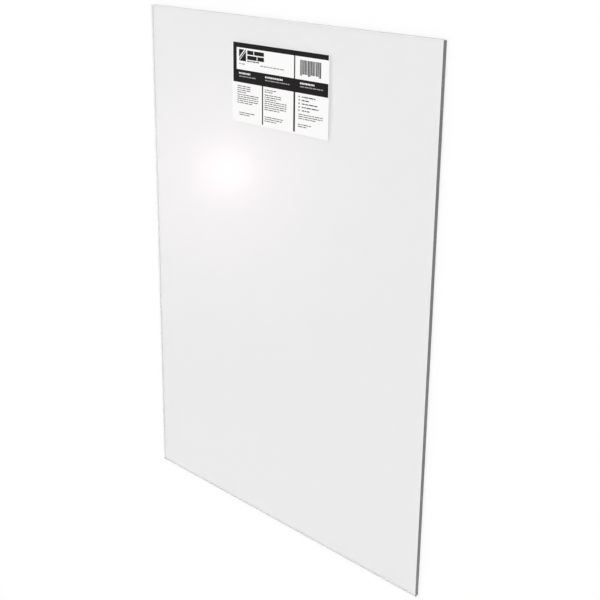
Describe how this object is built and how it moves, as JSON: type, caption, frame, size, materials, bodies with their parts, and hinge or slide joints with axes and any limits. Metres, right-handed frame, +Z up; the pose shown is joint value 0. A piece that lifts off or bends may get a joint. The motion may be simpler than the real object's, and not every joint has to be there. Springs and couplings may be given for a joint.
{
  "type": "acrylic sheet",
  "caption": "Flat rectangular clear acrylic sheet with sawn edges, lying on its plain face, and a rectangular paper stock label stuck to the upper face near one end.",
  "frame": {"origin": "centre of the sheet's plain underside, which lies on the floor", "axes": "+Z up out of the labelled face, +Y along the long edges towards the end with the label, +X to the right of the label as it is read"},
  "size_m": [0.4572, 0.6096, 0.0058],
  "materials": {
    "clear_acrylic": "gloss",
    "label_paper": "satin"
  },
  "bodies": {
    "root": {"acrylic_sheet": "clear_acrylic", "label": "label_paper"}
  },
  "joints": []
}
